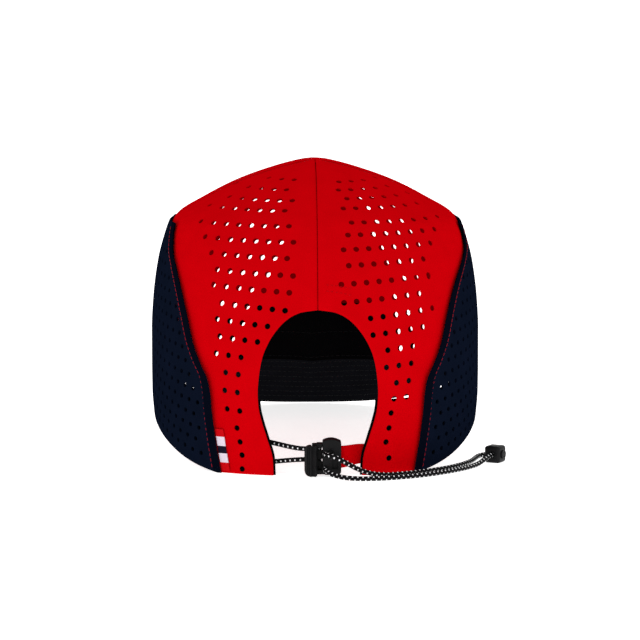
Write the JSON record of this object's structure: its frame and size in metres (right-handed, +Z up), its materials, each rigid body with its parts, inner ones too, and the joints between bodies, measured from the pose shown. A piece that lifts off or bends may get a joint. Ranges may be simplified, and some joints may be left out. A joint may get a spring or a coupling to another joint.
{
  "type": "running cap",
  "caption": "Curved-peak running cap of perforated panels with a high rear arch, a hinged cord clasp and an elastic cord with a stopper.",
  "frame": {"origin": "on the surface that the cap rests on, below the middle of the cap's length and width, the free cord left out", "axes": "+X to the wearer's right, +Y forward along the visor, +Z up through the crown"},
  "size_m": [0.1808, 0.2714, 0.152],
  "materials": {
    "red_cloth": "matt perforated woven polyester, red",
    "navy_cloth": "matt perforated woven polyester, dark navy",
    "black_cloth": "matt black polyester",
    "black_elastic": "braided elastic cord, black with white tracers",
    "black_plastic": "moulded acetal, satin black",
    "white_ribbon": "woven ribbon, striped crosswise"
  },
  "bodies": {
    "cap": {"rear_panel_left": "red_cloth", "rear_panel_right": "red_cloth", "front_panel": "red_cloth", "side_panel_left": "navy_cloth", "side_panel_right": "navy_cloth", "visor": "black_cloth", "sweatband": "black_cloth", "cord_tunnel": "black_cloth", "cord_held": "black_elastic", "cord_tail": "black_elastic", "buckle_body": "black_plastic", "cord_stopper": "black_plastic", "strap_tab": "red_cloth", "seam_tag": "white_ribbon"},
    "lever": {"buckle_lever": "black_plastic"}
  },
  "joints": [
    {"name": "lever_hinge", "type": "hinge", "parent": "cap", "child": "lever", "pos_m": [-0.0015, -0.12481, 0.00895], "axis": [0, 0, 1], "range_deg": [0, 30]}
  ]
}
